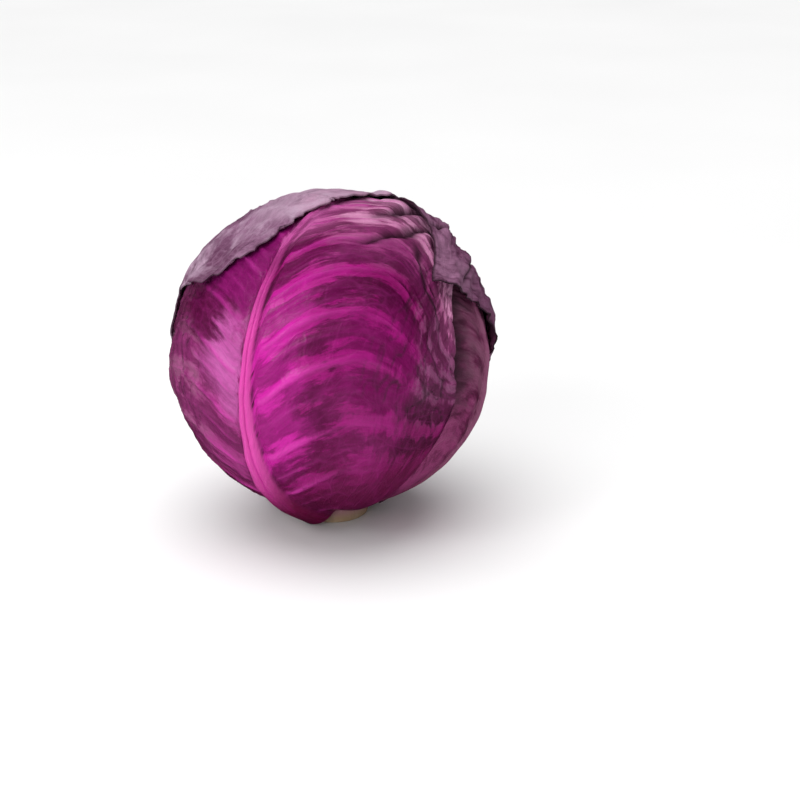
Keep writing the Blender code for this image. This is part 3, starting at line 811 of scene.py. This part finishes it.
FRONT = {
    "seed": 1.0, "dark": (0.066, 0.0006, 0.029, 1), "deep": (0.230, 0.0020, 0.108, 1),
    "between": 0.18, "contrast": (0.55, 0.68), "threads": 0.20,
    "vein": (0.680, 0.050, 0.420, 1), "vein_above": (0.400, 0.022, 0.240, 1), "vein_amount": 0.75,
    "vein_far": 0.22, "net": 0.12, "wax": 0.06, "clouds": 40.0, "wax_at_rib": 0.0,
    "wax_tone": (0.200, 0.050, 0.140, 1),
    # the rib's base is burgundy, darkened further with painted shade under the head
    "rib": (0.700, 0.068, 0.390, 1), "rib_base": (0.150, 0.006, 0.045, 1), "rib_amount": 1.0,
    "groove": (0.450, 0.010, 0.240, 1), "roughness": 0.33, "gloss": 0.35, "wrinkle": 0.7,
}
FRONT_ZONES = [
    # right half: magenta towards the rib, a greyish margin
    ((0.380, 0.006, 0.200, 1), (0.06, 0.16, 0.52, 0.66), (0.08, 0.14, 0.38, 0.60), 1.0, 0.15),
    ((0.560, 0.010, 0.325, 1), (0.14, 0.24, 0.44, 0.54), (0.08, 0.14, 0.29, 0.42), 1.0, 0.45),
    ((0.230, 0.070, 0.160, 1), (0.22, 0.34, None, None), (0.70, 0.86, None, None), 0.9, 0.25),
    ((0.300, 0.045, 0.180, 1), (0.50, 0.57, 0.64, 0.72), (0.30, 0.42, 0.66, 0.82), 0.9, 0.30),
    ((0.300, 0.004, 0.155, 1), (0.06, 0.16, 0.38, 0.48), (0.40, 0.54, 0.76, 0.86), 0.9, 0.40),
    # left half: a pale patch by the rib, dark above it, and a streaky margin
    ((0.340, 0.036, 0.200, 1), (0.08, 0.20, 0.50, 0.58), (None, None, -0.16, -0.06), 1.0, 0.40),
    ((0.300, 0.080, 0.190, 1), (0.12, 0.22, 0.42, 0.52), (None, None, -0.46, -0.32), 0.95, 0.10),
    ((0.510, 0.098, 0.362, 1), (0.30, 0.38, 0.46, 0.52), (-0.46, -0.28, -0.12, -0.05), 1.0, 0.85),
    ((0.080, 0.002, 0.035, 1), (0.38, 0.43, 0.70, 0.80), (None, None, -0.36, -0.26), 0.95, 0.95),
    ((0.190, 0.004, 0.105, 1), (0.47, 0.52, 0.70, 0.80), (None, None, -0.20, -0.08), 0.95, 0.85),
    ((0.110, 0.024, 0.062, 1), (0.36, 0.44, 0.70, 0.80), (None, None, -0.62, -0.54), 0.9, 0.5),
    ((0.210, 0.060, 0.130, 1), (0.08, 0.20, 0.34, 0.44), (None, None, -0.78, -0.60), 0.8, 0.3),
    # both: burgundy at the base, deepened with painted shade under the head, and pale rosy at the crown,
    # partly wax and partly painted sheen from the light above
    ((0.140, 0.008, 0.055, 1), (None, None, 0.08, 0.22), (None, None, None, None), 0.9, 0.8),
    ((0.420, 0.100, 0.260, 1), (0.58, 0.65, None, None), (0.02, 0.16, None, None), 1.0, 0.20),
    ((0.600, 0.260, 0.440, 1), (0.64, 0.72, None, None), (0.26, 0.40, None, None), 0.9, 0.18),
    ((0.500, 0.100, 0.330, 1), (0.60, 0.72, None, None), (-0.16, -0.06, 0.16, 0.34), 0.85, 0.55),
    ((0.660, 0.340, 0.520, 1), (0.76, 0.90, None, None), (0.06, 0.24, None, None), 0.9, 0.40),
]
WAXY = {
    "seed": 2.0, "dark": (0.085, 0.022, 0.060, 1), "deep": (0.190, 0.065, 0.140, 1),
    "between": 0.05, "contrast": (0.50, 0.74), "threads": 0.18,
    "vein": (0.400, 0.200, 0.330, 1), "vein_above": (0.400, 0.220, 0.340, 1), "vein_amount": 0.35,
    "vein_far": 0.7, "net": 0.30, "wax": 0.60, "clouds": 52.0, "wax_at_rib": 0.8,
    "wax_tone": (0.460, 0.310, 0.420, 1),
    "rib": (0.420, 0.170, 0.310, 1), "rib_base": (0.320, 0.070, 0.150, 1), "rib_amount": 0.8,
    "groove": (0.240, 0.070, 0.160, 1), "roughness": 0.42, "gloss": 0.4, "wrinkle": 0.8,
}
WAXY_ZONES = [
    # paler towards the top: the wax bloom, with painted sheen from the light above
    ((0.240, 0.115, 0.200, 1), (0.56, 0.70, None, None), (None, None, None, None), 0.8, 0.35),
    ((0.430, 0.280, 0.385, 1), (0.66, 0.80, None, None), (-0.90, -0.60, 0.46, 0.62), 0.85, 0.5),
    ((0.560, 0.300, 0.450, 1), (0.88, 0.98, None, None), (-0.90, -0.60, 0.30, 0.60), 0.8, 0.5),
    # dark purple by the right margin, deepened into painted shade at the pocket under it
    ((0.110, 0.034, 0.080, 1), (0.40, 0.50, 0.86, 0.94), (0.66, 0.82, None, None), 0.9, 0.9),
]
CRUMPLED = {
    "seed": 6.0, "dark": (0.080, 0.016, 0.052, 1), "deep": (0.230, 0.080, 0.170, 1),
    "between": 0.05, "contrast": (0.50, 0.74), "threads": 0.22,
    "vein": (0.320, 0.130, 0.240, 1), "vein_above": (0.330, 0.140, 0.250, 1), "vein_amount": 0.35,
    "vein_far": 0.6, "net": 0.30, "wax": 0.45, "clouds": 60.0, "wax_at_rib": 0.4,
    "wax_tone": (0.250, 0.110, 0.195, 1),
    "rib": (0.380, 0.120, 0.260, 1), "rib_base": (0.320, 0.070, 0.150, 1), "rib_amount": 0.7,
    "groove": (0.200, 0.040, 0.120, 1), "roughness": 0.38, "gloss": 0.5, "wrinkle": 1.3,
}
CRUMPLED_ZONES = [
    ((0.330, 0.160, 0.270, 1), (0.74, 0.90, None, None), (None, None, None, None), 0.6, 0.1),
    ((0.110, 0.024, 0.070, 1), (None, None, 0.35, 0.55), (None, None, None, None), 0.5, 0.5),
]
UNDER = {
    "seed": 3.0, "dark": (0.090, 0.008, 0.045, 1), "deep": (0.210, 0.045, 0.120, 1),
    "between": 0.12, "contrast": (0.50, 0.72), "threads": 0.20,
    "vein": (0.340, 0.095, 0.200, 1), "vein_above": (0.290, 0.070, 0.175, 1), "vein_amount": 0.5,
    "vein_far": 0.8, "net": 0.15, "wax": 0.25, "clouds": 45.0, "wax_at_rib": 0.3,
    "wax_tone": (0.230, 0.070, 0.150, 1),
    "rib": (0.380, 0.110, 0.230, 1), "rib_base": (0.320, 0.070, 0.150, 1), "rib_amount": 0.7,
    "groove": (0.220, 0.040, 0.130, 1), "roughness": 0.38, "gloss": 0.4, "wrinkle": 0.9,
}
UNDER_ZONES = [
    ((0.290, 0.100, 0.180, 1), (0.30, 0.45, None, None), (-0.50, -0.34, 0.30, 0.60), 0.8, 0.1),
    ((0.320, 0.120, 0.200, 1), (0.05, 0.20, 0.36, 0.50), (-0.40, -0.20, 0.30, 0.60), 0.6, 0.1),
]
ROSY = {
    **UNDER, "seed": 5.0, "dark": (0.130, 0.006, 0.058, 1), "deep": (0.330, 0.045, 0.175, 1),
    "contrast": (0.42, 0.70), "wax_tone": (0.330, 0.085, 0.200, 1),
}


def make_skins():
    return {
        "leaf_back": leaf_skin("inner_leaf_skin", UNDER, UNDER_ZONES),
        "leaf_left": leaf_skin("left_leaf_skin", {**UNDER, "seed": 4.0}, UNDER_ZONES),
        "leaf_right": leaf_skin("right_leaf_skin", ROSY, UNDER_ZONES),
        "leaf_front": leaf_skin("front_leaf_skin", FRONT, FRONT_ZONES),
        "leaf_back_right": leaf_skin("crumpled_leaf_skin", CRUMPLED, CRUMPLED_ZONES),
        "leaf_back_left": leaf_skin("waxy_leaf_skin", WAXY, WAXY_ZONES),
    }


def heart_skin():
    """The leaves of the heart, glossy and deep magenta."""
    made, tree, shader = new_material("heart_leaf_skin")
    place = node(tree, "TexCoord").outputs["Object"]
    blotch = grain(tree, place, 30.0, 5.0, 0.6, 0.5)
    streak = grain(tree, stretch(tree, place, (60.0, 60.0, 12.0)), 1.0, 4.0)
    colour = blend(tree, ramp(tree, blotch, 0.35, 0.65), (0.30, 0.008, 0.15, 1), (0.13, 0.004, 0.06, 1))
    colour = blend(tree, ramp(tree, streak, 0.5, 0.75, 0.0, 0.5), colour, (0.50, 0.10, 0.34, 1))
    tree.links.new(colour, shader.inputs["Base Color"])
    tree.links.new(ramp(tree, blotch, 0.3, 0.7, 0.3, 0.45), shader.inputs["Roughness"])
    bump = node(tree, "Bump", {"Height": streak, "Strength": 0.4, "Distance": 0.0006})
    tree.links.new(bump.outputs["Normal"], shader.inputs["Normal"])
    return made


def stem_flesh():
    """Cream flesh, browned round the edge of the cut face, with a ring of fibres under the rind."""
    made, tree, shader = new_material("cut_stem_flesh")
    place = node(tree, "TexCoord").outputs["Object"]
    axes = node(tree, "SeparateXYZ", {0: place})
    flat = node(tree, "CombineXYZ", {0: axes.outputs[0], 1: axes.outputs[1]}).outputs[0]
    from_axis = node(tree, "VectorMath", {0: flat}, operation="LENGTH").outputs["Value"]
    mottle = grain(tree, place, 160.0, 5.0, 0.6)
    uneven = plus(tree, from_axis, times(tree, minus(tree, mottle, 0.5), 0.004))
    ring = times(tree, ramp(tree, uneven, 0.0095, 0.0115), ramp(tree, uneven, 0.0140, 0.0122))
    browned = ramp(tree, uneven, 0.0138, 0.0168)
    colour = blend(tree, ramp(tree, mottle, 0.35, 0.7), (0.80, 0.69, 0.50, 1), (0.70, 0.57, 0.37, 1))
    colour = blend(tree, times(tree, ring, 0.55), colour, (0.56, 0.46, 0.28, 1))
    colour = blend(tree, times(tree, browned, 0.75), colour, (0.30, 0.17, 0.09, 1))
    side = ramp(tree, axes.outputs[2], 0.0016, 0.0075)
    colour = blend(tree, times(tree, side, 0.85), colour, (0.46, 0.20, 0.27, 1))
    tree.links.new(colour, shader.inputs["Base Color"])
    tree.links.new(ramp(tree, mottle, 0.3, 0.7, 0.5, 0.7), shader.inputs["Roughness"])
    fibres = node(tree, "TexVoronoi", {"Vector": stretch(tree, place, (1.0, 1.0, 0.1)), "Scale": 900.0})
    height = plus(tree, fibres.outputs["Distance"], mottle)
    bump = node(tree, "Bump", {"Height": height, "Strength": 0.4, "Distance": 0.0004})
    tree.links.new(bump.outputs["Normal"], shader.inputs["Normal"])
    return made


# ---- The head ----

def make_stem():
    piece = make_turned("cut_stem", stem_profile(0.0), STEM_SEGMENTS)
    data = piece.data
    flat = np.empty(len(data.vertices) * 3, np.float32)
    data.vertices.foreach_get("co", flat)
    places = flat.reshape(-1, 3).astype(float)
    on_side = smooth(places[:, 2], 0.0005, 0.003) * smooth(places[:, 2], 0.014, 0.010)
    angle = np.arctan2(places[:, 1], places[:, 0])
    scars = SCAR_DEPTH * np.cos(angle * SCARS + places[:, 2] * 300.0) - SCAR_DEPTH
    shrink = 1.0 + on_side * scars / STEM_RADIUS
    places[:, :2] *= shrink[:, None]
    place_vertices(piece, places)
    deselect()
    piece.select_set(True)
    bpy.context.view_layer.objects.active = piece
    bpy.ops.object.shade_smooth_by_angle(angle=math.radians(40.0))
    return piece


skins = make_skins()
stem = make_stem()
dress(stem, "stem", stem_flesh())
heart = make_heart()
dress(heart, "heart", heart_skin())
laid = [outside_of(heart)]
for leaf in LEAVES:
    piece = make_leaf(leaf, laid)
    dress(piece, leaf["name"], skins[leaf["name"]])
    laid.append(outside_of(piece))


# ---- Floor, light and camera ----

PICTURE = 800  # pixels on a side
HEAD_FROM_LEFT = 332  # where the head's centre falls in the picture
HEAD_FROM_TOP = 356
PIXEL = 0.488e-3  # metres in a pixel at the head's centre
ELEVATION = 20.0
LENS = 75.0
SENSOR = 36.0


def make_floor():
    deselect()
    bpy.ops.mesh.primitive_plane_add(size=24.0, location=(0.0, 0.0, 0.0))
    floor = bpy.context.object
    floor.name = "floor"
    made, tree, shader = new_material("studio_floor")
    place = node(tree, "TexCoord").outputs["Object"]
    tone = grain(tree, place, 3.0, 2.0)
    colour = blend(tree, tone, (0.90, 0.90, 0.90, 1), (0.93, 0.93, 0.93, 1))
    tree.links.new(colour, shader.inputs["Base Color"])
    tree.links.new(ramp(tree, tone, 0.0, 1.0, 0.6, 0.7), shader.inputs["Roughness"])
    shader.inputs["Specular IOR Level"].default_value = 0.2
    floor.data.materials.append(made)
    floor.visible_glossy = False


def area_light(name, place, aim, size, power):
    lamp = bpy.data.lights.new(name, "AREA")
    lamp.shape = "DISK"
    lamp.size = size
    lamp.energy = power
    made = bpy.data.objects.new(name, lamp)
    made.location = place
    made.rotation_euler = (Vector(aim) - Vector(place)).to_track_quat("-Z", "Y").to_euler()
    bpy.context.scene.collection.objects.link(made)
    return made


def make_camera():
    """The head's centre falls left of and above the middle of the picture, seen from somewhat above."""
    elevation = math.radians(ELEVATION)
    back = Vector((0.0, -math.cos(elevation), math.sin(elevation)))
    up = Vector((0.0, math.sin(elevation), math.cos(elevation)))
    right = Vector((1.0, 0.0, 0.0))
    aim = CENTRE + right * (PICTURE / 2 - HEAD_FROM_LEFT) * PIXEL - up * (PICTURE / 2 - HEAD_FROM_TOP) * PIXEL
    distance = PICTURE * PIXEL * LENS / SENSOR
    data = bpy.data.cameras.new("camera")
    data.lens = LENS
    data.sensor_width = SENSOR
    camera = bpy.data.objects.new("camera", data)
    camera.location = aim + back * distance
    camera.rotation_mode = "QUATERNION"
    camera.rotation_quaternion = (-back).to_track_quat("-Z", "Y")
    bpy.context.scene.collection.objects.link(camera)
    bpy.context.scene.camera = camera


def wide_light(name, direction, spread, strength):
    """An even light from all over a wide ceiling, as far as the floor goes."""
    lamp = bpy.data.lights.new(name, "SUN")
    lamp.angle = math.radians(spread)
    lamp.energy = strength
    made = bpy.data.objects.new(name, lamp)
    made.rotation_euler = Vector(direction).to_track_quat("-Z", "Y").to_euler()
    bpy.context.scene.collection.objects.link(made)
    return made


def make_world():
    """An even white light from everywhere, which doesn't show in gloss."""
    world = bpy.data.worlds.new("studio")
    bpy.context.scene.world = world
    world.use_nodes = True
    background = world.node_tree.nodes["Background"]
    background.inputs["Color"].default_value = (1.0, 1.0, 1.0, 1.0)
    background.inputs["Strength"].default_value = 0.35
    world.cycles_visibility.glossy = False


make_floor()
ceiling = wide_light("ceiling", (0.10, -0.12, -1.0), 75.0, 2.4)
ceiling.visible_glossy = False
fill = area_light("front_fill", (-0.55, -1.0, 0.55), (0.0, 0.0, 0.07), 0.9, 5.0)
fill.visible_glossy = False
area_light("softbox", (-0.55, -0.50, 0.62), (0.0, 0.0, 0.08), 0.30, 1.6)
make_world()
bpy.context.scene.view_settings.view_transform = "Standard"
make_camera()
